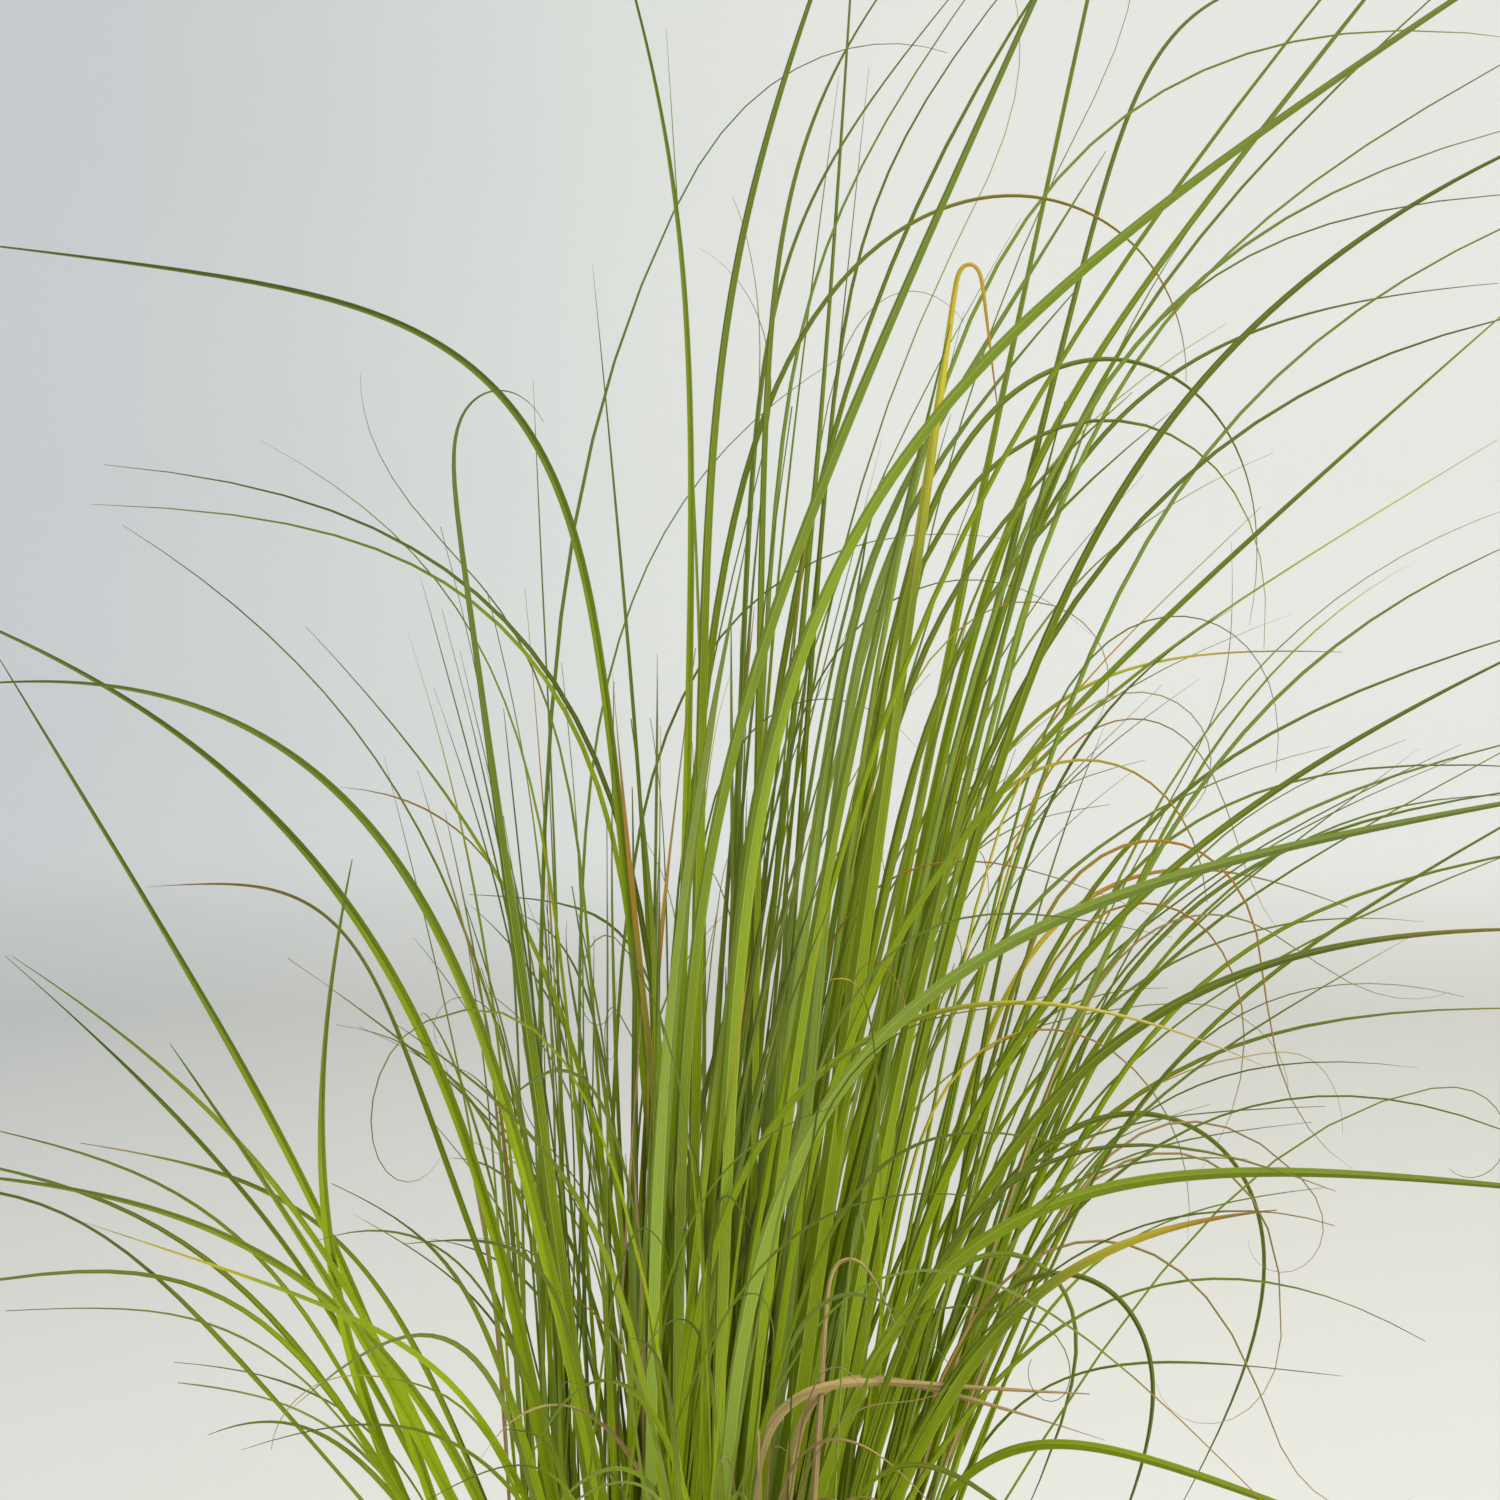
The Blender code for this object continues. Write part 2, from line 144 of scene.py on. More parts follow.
# %% The broad leaves
LEAVES = {
    # arching to the left
    "leaf_left_01": Leaf((0.003, 0.014), 168, 5.7, 76, 0.640, 0.049, 0.645, 0.0042, 70, 20),
    "leaf_left_02": Leaf((-0.024, -0.021), 8, -7.8, 160, 0.955, 0.022, 0.425, 0.0052, 80, -30),
    "leaf_left_03": Leaf((-0.015, -0.036), 192, 12, 86, 0.773, 0.117, 0.415, 0.0046, 65, 30),
    "leaf_left_04": Leaf((-0.035, -0.006), 181, 9, 60, 0.66, 0.170, 0.420, 0.0050, 60, 20),
    "leaf_left_05": Leaf((-0.026, 0.022), 156, 23, 72, 0.78, 0.050, 0.330, 0.0038, 70, -20),
    "leaf_left_06": Leaf((-0.066, -0.012), 170, 18, 15, 0.35, 0.120, 0.360, 0.0040, 75, 20),
    "leaf_left_07": Leaf((-0.064, -0.030), 192, 27, -38, 0.55, 0.200, 0.260, 0.0046, 85, -30),
    "leaf_left_08": Leaf((-0.062, 0.006), 158, 29, 26, 0.50, 0.150, 0.290, 0.0036, 60, 20),
    "leaf_left_09": Leaf((-0.040, -0.052), 207, 20, 64, 0.545, 0.170, 0.285, 0.0034, 65, 30),
    "leaf_left_10": Leaf((-0.054, 0.030), 146, 28, 60, 0.52, 0.110, 0.275, 0.0034, 60, 20),
    "leaf_left_11": Leaf((-0.042, -0.060), 212, 26, 9, 0.50, 0.200, 0.235, 0.0040, 75, 20),
    # upright
    "leaf_upright_01": Leaf((-0.008, 0.026), 168, -1.5, 20, 0.80, 0.077, 0.600, 0.0036, 75, 25),
    "leaf_upright_02": Leaf((-0.002, -0.010), 345, 1, 21, 0.71, 0.063, 0.620, 0.0048, 70, 20),
    "leaf_upright_03": Leaf((0.0176, 0.000), 354, 0.8, 42, 0.82, 0.053, 0.600, 0.0036, 85, -20),
    "leaf_upright_04": Leaf((0.006, 0.034), 34, 2.4, 40, 0.75, 0.050, 0.610, 0.0030, 70, 20),
    "leaf_upright_05": Leaf((-0.004, -0.028), 346, -0.6, 26, 0.40, 0.080, 0.660, 0.0050, 65, 35),
    "leaf_upright_06": Leaf((0.026, 0.030), 26, 12, 2, 0.50, 0.100, 0.680, 0.0042, 75, 25),
    "leaf_upright_07": Leaf((0.007, -0.050), 351, 1, 57, 0.48, 0.077, 0.740, 0.0052, 60, 30),
    "leaf_upright_08": Leaf((0.030, 0.048), 24, 12, 29, 0.525, 0.055, 0.740, 0.0044, 70, 25),
    "leaf_upright_09": Leaf((0.021, 0.062), 18, 15, 78, 0.86, 0.034, 0.675, 0.0040, 70, 20),
    "leaf_upright_10": Leaf((-0.016, 0.008), 356, 3.2, 178, 0.90, 0.095, 0.600, 0.0036, 60, 30),
    "leaf_upright_11": Leaf((0.022, -0.014), 355, 8.2, 165, 0.905, 0.004, 0.490, 0.0074, 75, 10),
    # arching to the right
    "leaf_right_01": Leaf((0.030, 0.014), 14, 5.8, 186, 0.82, 0.075, 0.572, 0.0040, 60, 25),
    "leaf_right_02": Leaf((0.034, -0.018), 348, 11, 62, 0.73, 0.120, 0.600, 0.0044, 60, 30),
    "leaf_right_03": Leaf((0.040, 0.058), 22, 10.5, 72, 0.71, 0.085, 0.600, 0.0034, 60, 20),
    "leaf_right_04": Leaf((0.018, -0.030), 336, 4.4, 46, 0.42, 0.100, 0.520, 0.0034, 65, 30),
    "leaf_right_05": Leaf((0.044, 0.024), 24, 8.8, 82, 0.70, 0.075, 0.440, 0.0030, 60, 20),
    "leaf_right_06": Leaf((0.044, -0.004), 342, 8.4, 57, 0.51, 0.170, 0.430, 0.0042, 65, 25),
    "leaf_right_07": Leaf((0.008, -0.064), 338, 1, 79, 0.435, 0.110, 0.460, 0.0056, 70, 25),
    "leaf_right_08": Leaf((0.058, 0.042), 26, 12, 97, 0.69, 0.090, 0.370, 0.0032, 60, 20),
    "leaf_right_09": Leaf((0.038, -0.034), 336, 15, 76, 0.62, 0.150, 0.375, 0.0052, 65, 30),
    "leaf_right_10": Leaf((0.024, -0.052), 334, 13, 80, 0.42, 0.110, 0.370, 0.0052, 70, 20),
    "leaf_right_11": Leaf((0.042, -0.048), 324, 20, 60, 0.66, 0.180, 0.232, 0.0062, 70, 20),
    "leaf_right_12": Leaf((-0.006, -0.050), 343, 1, 112, 0.64, 0.140, 0.340, 0.0034, 65, 30),
    "leaf_right_13": Leaf((0.050, 0.010), 2, 14.5, 196, 0.575, 0.090, 0.382, 0.0030, 50, 20),
    "leaf_right_14": Leaf((0.052, -0.022), 338, 16, 188, 0.58, 0.077, 0.274, 0.0028, 50, 20),
    "leaf_right_15": Leaf((0.050, -0.036), 318, 27, 72, 0.33, 0.070, 0.290, 0.0036, 60, 20),
    # short and broad in the middle
    "leaf_middle_01": Leaf((-0.012, -0.064), 320, 0, 16, 0.60, 0.150, 0.360, 0.0056, 80, 20),
    "leaf_middle_02": Leaf((0.012, -0.038), 350, 5, 9, 0.50, 0.150, 0.420, 0.0056, 75, 25),
    "leaf_middle_03": Leaf((0.031, -0.030), 346, 10, 5, 0.50, 0.150, 0.400, 0.0052, 75, 25),
}
print(len(LEAVES), "broad leaves")

# %% The tufts
TUFTS = {
    "tuft_left_high": Leaf((-0.022, 0.038), 184, 4, 80, 0.72, 0.110, 0.500, 0.0024),
    "tuft_left_inner": Leaf((-0.044, 0.010), 178, 2.5, 14, 0.60, 0.150, 0.370, 0.0024),
    "tuft_left_thin": Leaf((-0.042, 0.054), 140, 1, 8, 0.60, 0.150, 0.450, 0.0024),
    "tuft_left_low": Leaf((-0.056, -0.044), 190, 30, 55, 0.50, 0.150, 0.280, 0.0024),
    "tuft_top": Leaf((0.004, 0.056), 30, 5, 28, 0.70, 0.120, 0.620, 0.0024),
    "tuft_right_high": Leaf((0.030, 0.048), 12, 11.5, 55, 0.70, 0.100, 0.640, 0.0024),
    "tuft_right_middle": Leaf((0.062, 0.026), 14, 17, 58, 0.60, 0.120, 0.460, 0.0024),
    "tuft_right_low": Leaf((0.066, -0.012), 354, 22, 75, 0.55, 0.150, 0.360, 0.0024),
    "tuft_back": Leaf((-0.004, 0.069), 92, 14, 66, 0.60, 0.140, 0.470, 0.0024),
    "tuft_back_left": Leaf((-0.028, 0.065), 126, 16, 64, 0.60, 0.150, 0.430, 0.0024),
    "tuft_back_right": Leaf((0.036, 0.070), 52, 15, 60, 0.60, 0.140, 0.480, 0.0024),
    "tuft_front": Leaf((0.004, -0.073), 275, 20, 86, 0.55, 0.150, 0.360, 0.0024),
    "tuft_front_left": Leaf((-0.024, -0.069), 244, 24, 70, 0.55, 0.150, 0.320, 0.0024),
    "tuft_front_right": Leaf((0.040, -0.062), 306, 22, 74, 0.55, 0.150, 0.360, 0.0024),
    "tuft_heart_left": Leaf((-0.014, -0.024), 310, 1, 9, 0.60, 0.150, 0.380, 0.0024),
    "tuft_heart_right": Leaf((0.014, 0.014), 20, 8.5, 10, 0.60, 0.150, 0.430, 0.0024),
    "tuft_dry": Leaf((0.026, -0.070), 294, 14, 100, 0.55, 0.120, 0.190, 0.0024),
}
print(len(TUFTS), "tufts")

# %% [markdown]
# ## The thin leaves that can be told apart
# Most of a tuft is a haze of thin leaves that nobody could number.  Some
# stand clear of it and give the clump its outline: hair-thin arches on the
# left, slim uprights in the middle, and long hanging tips on the right.
# Those are listed one by one, and the rest of each tuft is grown around its line.

# %% The thin leaves listed one by one
THIN = {
    "tuft_left_high": [
        Leaf((-0.004, 0.036), 182, 1, 84, 0.71, 0.112, 0.485, 0.0028),
        Leaf((-0.008, 0.033), 180, 2, 86, 0.70, 0.090, 0.482, 0.0026),
        Leaf((-0.027, 0.040), 184, 4, 58, 0.82, 0.100, 0.425, 0.0015),
        Leaf((-0.022, 0.037), 181, 3, 66, 0.80, 0.080, 0.430, 0.0015, 60, 20, 0, -70),
    ],
    "tuft_left_thin": [
        Leaf((-0.009, 0.050), 180, 0.7, 5, 0.50, 0.150, 0.450, 0.0024),
        Leaf((-0.050, 0.050), 0, -1, 40, 0.76, 0.130, 0.590, 0.0020, curl=70),
        Leaf((-0.034, 0.056), 0, -2, 62, 0.86, 0.120, 0.450, 0.0016),
    ],
    "tuft_top": [
        Leaf((0.003, 0.058), 180, -0.3, 4, 0.60, 0.100, 0.530, 0.0018),
        Leaf((0.014, 0.056), 0, 1.5, 6, 0.60, 0.100, 0.515, 0.0018),
        Leaf((0.001, 0.054), 0, 6.5, -3, 0.60, 0.100, 0.620, 0.0029),
        Leaf((0.018, 0.056), 0, 4, 36, 0.80, 0.050, 0.600, 0.0027),
        Leaf((0.010, 0.052), 0, 2.5, 34, 0.76, 0.060, 0.600, 0.0025),
        Leaf((0.010, 0.060), 0, 5, 1, 0.50, 0.100, 0.520, 0.0016),
        Leaf((0.004, 0.030), 0, 3, 36, 0.72, 0.140, 0.640, 0.0032),
        Leaf((0.000, -0.040), 0, 8, 32, 0.50, 0.120, 0.680, 0.0026),
    ],
    "tuft_right_high": [
        Leaf((0.036, 0.046), 0, 12, 50, 0.72, 0.080, 0.620, 0.0027),
        Leaf((0.034, 0.052), 0, 12, 76, 0.76, 0.070, 0.610, 0.0020),
        Leaf((0.044, 0.048), 0, 14, 58, 0.70, 0.100, 0.620, 0.0023),
        Leaf((0.026, 0.050), 0, 6, 180, 0.83, 0.080, 0.542, 0.0034, dry=-0.05),
        Leaf((0.042, 0.054), 0, 9, 40, 0.66, 0.100, 0.640, 0.0028),
        Leaf((0.020, 0.020), 0, 7, 92, 0.80, 0.090, 0.660, 0.0026, dry=-0.1),
        Leaf((0.030, 0.000), 0, 10, 68, 0.76, 0.100, 0.600, 0.0030),
        Leaf((0.020, 0.010), 0, 12, 68, 0.78, 0.140, 0.540, 0.0034),
    ],
    "tuft_right_middle": [
        Leaf((0.052, 0.028), 0, 14, 60, 0.62, 0.100, 0.450, 0.0026),
        Leaf((0.058, 0.030), 0, 16, 62, 0.60, 0.100, 0.430, 0.0024),
        Leaf((0.060, 0.024), 0, 18, 66, 0.62, 0.090, 0.420, 0.0024),
        Leaf((0.056, 0.034), 0, 15, 80, 0.66, 0.090, 0.430, 0.0020),
        Leaf((0.064, 0.020), 0, 20, 62, 0.60, 0.100, 0.400, 0.0026),
        Leaf((0.050, 0.030), 0, 12, 176, 0.86, 0.060, 0.430, 0.0016),
        Leaf((0.044, -0.005), 0, 7, 168, 0.84, 0.075, 0.375, 0.0030, dry=0.12),
        Leaf((0.050, 0.020), 0, 12, 190, 0.80, 0.050, 0.410, 0.0014, curl=-60, dry=0.35),
        Leaf((0.046, 0.012), 0, 11, 130, 0.82, 0.060, 0.400, 0.0015, curl=120, dry=0.30),
    ],
    "tuft_right_low": [
        Leaf((0.052, -0.012), 0, 13, 178, 0.70, 0.055, 0.415, 0.0020, curl=-70, dry=0.35),
        Leaf((0.050, -0.020), 0, 15, 165, 0.72, 0.050, 0.370, 0.0015, curl=40, dry=0.35),
        Leaf((0.045, -0.022), 0, 8, 150, 0.70, 0.070, 0.310, 0.0015, curl=30, dry=0.35),
        Leaf((0.056, -0.006), 0, 18, 140, 0.76, 0.060, 0.350, 0.0014, curl=-90, dry=1.3),
        Leaf((0.060, -0.010), 0, 20, 170, 0.60, 0.070, 0.330, 0.0013, curl=160, dry=1.3),
        Leaf((0.058, 0.004), 0, 24, 120, 0.66, 0.060, 0.300, 0.0014, curl=220, dry=1.3),
        Leaf((0.050, -0.030), 350, 16, 150, 0.55, 0.080, 0.300, 0.0013, curl=-120, dry=0.8),
        Leaf((0.040, -0.015), 0, 14, 190, 0.60, 0.070, 0.255, 0.0028),
    ],
    "tuft_heart_right": [
        Leaf((0.020, -0.010), 0, 5.5, 36, 0.78, 0.060, 0.455, 0.0062),
        Leaf((0.004, -0.006), 0, 8, 24, 0.70, 0.040, 0.500, 0.0056),
        Leaf((0.014, 0.000), 0, 9, 40, 0.80, 0.080, 0.430, 0.0050),
        Leaf((0.020, -0.012), 0, 9.5, 42, 0.80, 0.080, 0.425, 0.0046),
        Leaf((-0.002, -0.012), 0, 4, 30, 0.78, 0.080, 0.400, 0.0054),
        Leaf((-0.030, 0.030), 0, 1, 100, 0.82, 0.100, 0.440, 0.0017),
        Leaf((0.000, 0.030), 0, 5, 130, 0.88, 0.080, 0.420, 0.0015),
        Leaf((-0.008, 0.020), 0, 2, 140, 0.88, 0.060, 0.360, 0.0015),
        Leaf((0.020, 0.000), 0, 4, 110, 0.72, 0.060, 0.350, 0.0015, dry=0.30),
        Leaf((0.012, 0.020), 0, 9, 120, 0.86, 0.070, 0.420, 0.0016, curl=90, dry=0.20),
    ],
    "tuft_dry": [
        Leaf((0.016, -0.070), 352, 3, 92, 0.50, 0.050, 0.185, 0.0042, 40, 70, 20, 0),
        Leaf((0.024, -0.066), 6, 6, 98, 0.53, 0.040, 0.182, 0.0034, 50, 60, -25, 0),
        Leaf((0.034, -0.068), 340, 4, 150, 0.80, 0.020, 0.170, 0.0030, 70, 20, 0, 0),
    ],
}
print(sum(map(len, THIN.values())), "thin leaves set by hand")

# %% [markdown]
# ## Filling the tufts
# The other thin leaves start within a centimetre or so of their tuft's foot
# and scatter around its line.  A fixed seed makes the same clump every time.
# Any thin leaf that would reach more than a few millimetres out of the part's
# own box is grown shorter, so the clump keeps its real size.

# %% Scatter thin leaves around a tuft
ROOM = 0.008                    # how far a thin leaf may pass the part's box
LOWEST = 0.02                   # no thin leaf droops below this height
SHRINK = 0.94                   # how much of its length a leaf keeps per trim
FOOT_SCATTER = 0.013            # how far a foot strays from its tuft's foot
CROWN_REACH = 0.073             # feet and stubs stand within this radius
EIGHTHS = [step / 8 for step in range(9)]
Fill = namedtuple("Fill", "count shortest longest fan narrow wide sway hairs",
                  defaults=(0.0013, 0.0028, 4.5, 0.35))
FILLS = {
    "tuft_left_high": Fill(3, 0.45, 0.90, 7, sway=2, hairs=0),
    "tuft_left_inner": Fill(22, 0.50, 1.02, 14, sway=2.5, hairs=0.1),
    "tuft_left_thin": Fill(7, 0.45, 0.95, 16, sway=3, hairs=0),
    "tuft_left_low": Fill(9, 0.45, 1.04, 26, 0.0020, 0.0034, hairs=0),
    "tuft_top": Fill(10, 0.50, 0.98, 24),
    "tuft_right_high": Fill(9, 0.50, 1.02, 18),
    "tuft_right_middle": Fill(17, 0.50, 1.04, 22),
    "tuft_right_low": Fill(8, 0.45, 1.04, 26),
    "tuft_back": Fill(26, 0.45, 0.85, 26),
    "tuft_back_left": Fill(16, 0.35, 0.65, 24, hairs=0),
    "tuft_back_right": Fill(18, 0.45, 0.95, 24),
    "tuft_front": Fill(22, 0.40, 1.04, 26),
    "tuft_front_left": Fill(15, 0.40, 1.04, 24, hairs=0.08),
    "tuft_front_right": Fill(10, 0.40, 1.04, 24),
    "tuft_heart_left": Fill(34, 0.40, 0.85, 80, 0.0024, 0.0048, 7, 0),
    "tuft_heart_right": Fill(34, 0.45, 0.95, 60, 0.0024, 0.0048, 6, 0),
    "tuft_dry": Fill(12, 0.45, 1.02, 30),
}


def fits(leaf):
    """Whether a whole leaf stays in the part's box, give or take the room."""
    points = [point for point, _, _ in grow(leaf, EIGHTHS)]
    return min(point.z for point in points) > LOWEST and all(
        cad_low[axis] - ROOM < point[axis] < cad_high[axis] + ROOM
        for point in points for axis in range(3))


def trimmed(leaf):
    """The same leaf, grown shorter until it fits."""
    while not fits(leaf):
        leaf = leaf._replace(length=leaf.length * SHRINK)
    return leaf


def scattered(tuft, fill, chance):
    """One more thin leaf near a tuft's line."""
    turn, reach = chance.uniform(0, math.tau), FOOT_SCATTER * math.sqrt(chance.random())
    foot = Vector((tuft.foot[0] + reach * math.cos(turn), tuft.foot[1] + reach * math.sin(turn)))
    if foot.length > CROWN_REACH:
        foot = foot * CROWN_REACH / foot.length
    hair = chance.random() < fill.hairs
    return trimmed(Leaf(
        foot=tuple(foot), heading=tuft.heading + chance.gauss(0, fill.fan),
        lean=tuft.lean + chance.gauss(0, fill.sway), bend=tuft.bend * chance.uniform(0.5, 1.3),
        knee=chance.uniform(0.50, 0.86), soft=chance.uniform(0.07, 0.17),
        length=tuft.length * chance.uniform(fill.shortest, fill.longest),
        width=chance.uniform(0.0009, 0.0014) if hair else chance.uniform(fill.narrow, fill.wide),
        face=chance.uniform(20, 90), twist=chance.uniform(-70, 70),
        swing=chance.gauss(0, 18), curl=chance.choice((0, 90, -80, 200, 300)) if hair else 0))


# %% Grow every leaf's plan
everything = {}                 # piece name -> (leaves in it, CAD node it stands for)
for name, leaf in LEAVES.items():
    everything[name + "_blade"] = ([leaf], name)
for name, tuft in TUFTS.items():
    chance = random.Random(name)
    grown = [trimmed(leaf) for leaf in THIN.get(name, [])]
    grown += [scattered(tuft, FILLS[name], chance) for _ in range(FILLS[name].count)]
    everything[name + "_leaves"] = (grown, name)
print(sum(len(leaves) for leaves, _ in everything.values()), "leaves in", len(everything), "pieces")

# %% [markdown]
# ## One straight blade to bend
# A blade is a thin strip folded a little along its midrib.  Drawing each one
# from scratch would be slow, so one straight blade is extruded from a flat
# circle and given its maps, and every leaf is a tapered and bent copy of it.
# Broad leaves come from a finer blank than thin ones, which are counted in
# hundreds and have fewer than a hundred faces each.

# %% Extrude a straight blank
FACE_NOTES = ("under", "tint", "dry", "pale")   # what the finish may ask of a face


def blank_blade(sides, steps):
    """A closed straight blade one unit tall, with a map along and across it."""
    blade = bmesh.new()
    bmesh.ops.create_circle(blade, cap_ends=True, segments=sides, radius=0.5)
    if sides == 3:              # a flat top over a keel
        bmesh.ops.rotate(blade, verts=blade.verts, cent=(0, 0, 0),
                         matrix=Matrix.Rotation(math.radians(60), 3, "Z"))
        reach = max(abs(vert.co.x) for vert in blade.verts)
        bmesh.ops.scale(blade, verts=blade.verts, vec=(0.5 / reach, 1, 1))
    else:
        groove = max(blade.verts, key=lambda vert: vert.co.y)
        groove.co.y = 0.12
    min(blade.verts, key=lambda vert: vert.co.y).co.y = -0.8
    tip = next(iter(blade.faces))
    for step in range(steps):
        grown = bmesh.ops.extrude_face_region(blade, geom=[tip])["geom"]
        if step:
            bmesh.ops.delete(blade, geom=[tip], context="FACES_ONLY")
        tip = next(part for part in grown if isinstance(part, bmesh.types.BMFace))
        bmesh.ops.translate(blade, verts=tip.verts, vec=(0, 0, 1 / steps))
    bmesh.ops.recalc_face_normals(blade, faces=blade.faces)
    notes = {note: blade.faces.layers.float.new(note) for note in FACE_NOTES}
    across_map = blade.loops.layers.uv.new("leaf")
    for face in blade.faces:
        face.smooth = True
        face[notes["under"]] = float(face.normal.y < 0)
        for loop in face.loops:
            loop[across_map].uv = (loop.vert.co.x + 0.5, loop.vert.co.z)
    for edge in blade.edges:
        middle = (edge.verts[0].co + edge.verts[1].co) / 2
        edge.smooth = 0.01 < abs(middle.x) < 0.49
    return blade


def taper(share):
    """Share of the full width: narrower at the foot, drawn out to a hair at the tip."""
    return min(1.0, 0.80 + 1.2 * share) * (0.05 + 0.95 * (1 - share ** 1.8))


BROAD_STEPS, THIN_STEPS, SHEATH_STEPS = 60, 24, 4
broad_blank = blank_blade(sides=8, steps=BROAD_STEPS)
thin_blank = blank_blade(sides=3, steps=THIN_STEPS)
print("broad blank:", len(broad_blank.faces), "faces; thin blank:", len(thin_blank.faces))

# %% [markdown]
# ## Bending a blank into a leaf
# Each ring of the blank is lifted onto its frame of the growth rule.  The
# fold raises both edges, and a slow ripple keeps the strip from looking
# machined.  The bake map gives every leaf of a piece a column of its own,
# upper side and underside next to each other, so nothing overlaps.

# %% Bend a copy of the blank
THICKNESS = 0.00042             # what one unit of a blank's depth becomes, in metres


def bend(blank, steps, leaf, look, column, columns, fold=0.36, height=foot_height):
    """A copy of the blank along a leaf's growth, with its face notes filled in."""
    blade = blank.copy()
    shares = stations(leaf, steps)
    frames = grow(leaf, shares, height)
    ripple = look["seed"] * 20
    for vert in blade.verts:
        share = shares[round(vert.co.z * steps)]
        point, across, up = frames[round(vert.co.z * steps)]
        x, y = vert.co.x * leaf.width * taper(share), vert.co.y * THICKNESS
        lift = abs(x) * 2 * fold + leaf.width * 0.10 * math.sin(share * 17 + ripple) * vert.co.x
        vert.co = point + across * x + up * (y * min(1.0, 0.25 + 3 * (1 - share)) + lift)
    leaf_map = blade.loops.layers.uv["leaf"]
    bake_map = blade.loops.layers.uv.new("OFBake")
    notes = {note: blade.faces.layers.float[note] for note in FACE_NOTES}
    for face in blade.faces:
        for note in ("tint", "dry", "pale"):
            face[notes[note]] = look[note]
        under = face[notes["under"]]
        for loop in face.loops:
            u, v = loop[leaf_map].uv
            v = shares[round(v * steps)]
            loop[bake_map].uv = ((column + 0.02 + 0.46 * u + 0.5 * under) / columns, 0.003 + 0.994 * v)
            loop[leaf_map].uv = (u + look["seed"] * 50 // 1, v)
    return blade


def finished(name, mesh, material, nodes, slot):
    """A piece of the clump: linked, riding on the part, standing for its CAD nodes."""
    piece = bpy.data.objects.new(name, mesh)
    bpy.context.scene.collection.objects.link(piece)
    mesh.materials.clear()
    mesh.materials.append(material)
    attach(piece, "root")
    if nodes:
        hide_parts(*nodes)


def joined(name, blades):
    """One mesh from many bent blades."""
    whole, carrier = bmesh.new(), bpy.data.meshes.new(name + "_carrier")
    for blade in blades:
        blade.to_mesh(carrier)
        blade.free()
        whole.from_mesh(carrier)
    bpy.data.meshes.remove(carrier)
    mesh = bpy.data.meshes.new(name)
    whole.to_mesh(mesh)
    whole.free()
    return mesh


# %% [markdown]
# ## Sums on sockets
# A finish is easier to read as arithmetic than as a web of nodes.  This small
# class wraps a socket, so that `1 - mask * 0.5` adds the Math nodes itself.
# Colours go through Mix nodes, and anything else through one method.

# %% A socket that does sums
class Wire:
    def __init__(self, tree, socket):
        self.tree, self.socket = tree, socket

    def sum(self, operation, *terms):
        math_node = self.tree.nodes.new("ShaderNodeMath")
        math_node.operation = operation
        for place, term in zip(math_node.inputs, terms):
            if isinstance(term, Wire):
                self.tree.links.new(term.socket, place)
            else:
                place.default_value = term
        return Wire(self.tree, math_node.outputs[0])

    def __add__(self, other):
        return self.sum("ADD", self, other)

    def __sub__(self, other):
        return self.sum("SUBTRACT", self, other)

    def __rsub__(self, other):
        return self.sum("SUBTRACT", other, self)

    def __mul__(self, other):
        return self.sum("MULTIPLY", self, other)

    __radd__, __rmul__ = __add__, __mul__


class Finish:
    """A Principled material and the nodes that feed it."""

    def __init__(self, name, **fixed):
        self.material = bpy.data.materials.new(name)
        self.material.use_nodes = True
        self.tree = self.material.node_tree
        self.surface = self.tree.nodes["Principled BSDF"]
        for socket, value in fixed.items():
            self.surface.inputs[socket.replace("_", " ")].default_value = value

    def node(self, kind, settings=None, values=None, output=0):
        made = self.tree.nodes.new(kind)
        for key, value in (settings or {}).items():
            setattr(made, key, value)
        for socket, value in (values or {}).items():
            self.plug(value, made.inputs[socket])
        return Wire(self.tree, made.outputs[output])

    def plug(self, value, socket):
        if isinstance(value, Wire):
            self.tree.links.new(value.socket, socket)
        elif hasattr(value, "__len__") and socket.type == "RGBA":
            socket.default_value = (*value, 1.0)
        else:
            socket.default_value = value

    def mix(self, first, second, share):
        """Colour `first` where share is 0, `second` where it is 1."""
        return self.node("ShaderNodeMix", {"data_type": "RGBA"}, {0: share, 6: first, 7: second}, 2)

    def rise(self, value, low, high):
        """0 below low, 1 above high, smooth between."""
        return self.node("ShaderNodeMapRange", {"interpolation_type": "SMOOTHSTEP"},
                         {"Value": value, "From Min": low, "From Max": high})

    def grain(self, vector, scale, detail=2.0, distortion=0.0):
        return self.node("ShaderNodeTexNoise", None,
                         {"Vector": vector, "Scale": scale, "Detail": detail,
                          "Distortion": distortion})

    def note(self, name):
        return self.node("ShaderNodeAttribute", {"attribute_name": name}, None, 2)

    def join(self, x, y, z):
        return self.node("ShaderNodeCombineXYZ", None, {0: x, 1: y, 2: z})

    def split(self, vector):
        parts = self.tree.nodes.new("ShaderNodeSeparateXYZ")
        self.plug(vector, parts.inputs[0])
        return [Wire(self.tree, output) for output in parts.outputs]

    def spot(self):
        """The place on the object, in metres."""
        return self.node("ShaderNodeTexCoord", None, None, 3)

    def bump(self, height, distance, strength=1.0):
        normal = self.node("ShaderNodeBump", None,
                           {"Height": height, "Distance": distance, "Strength": strength})
        self.plug(normal, self.surface.inputs["Normal"])

    def use(self, colour, roughness):
        self.plug(colour, self.surface.inputs["Base Color"])
        self.plug(roughness, self.surface.inputs["Roughness"])
        return self.material
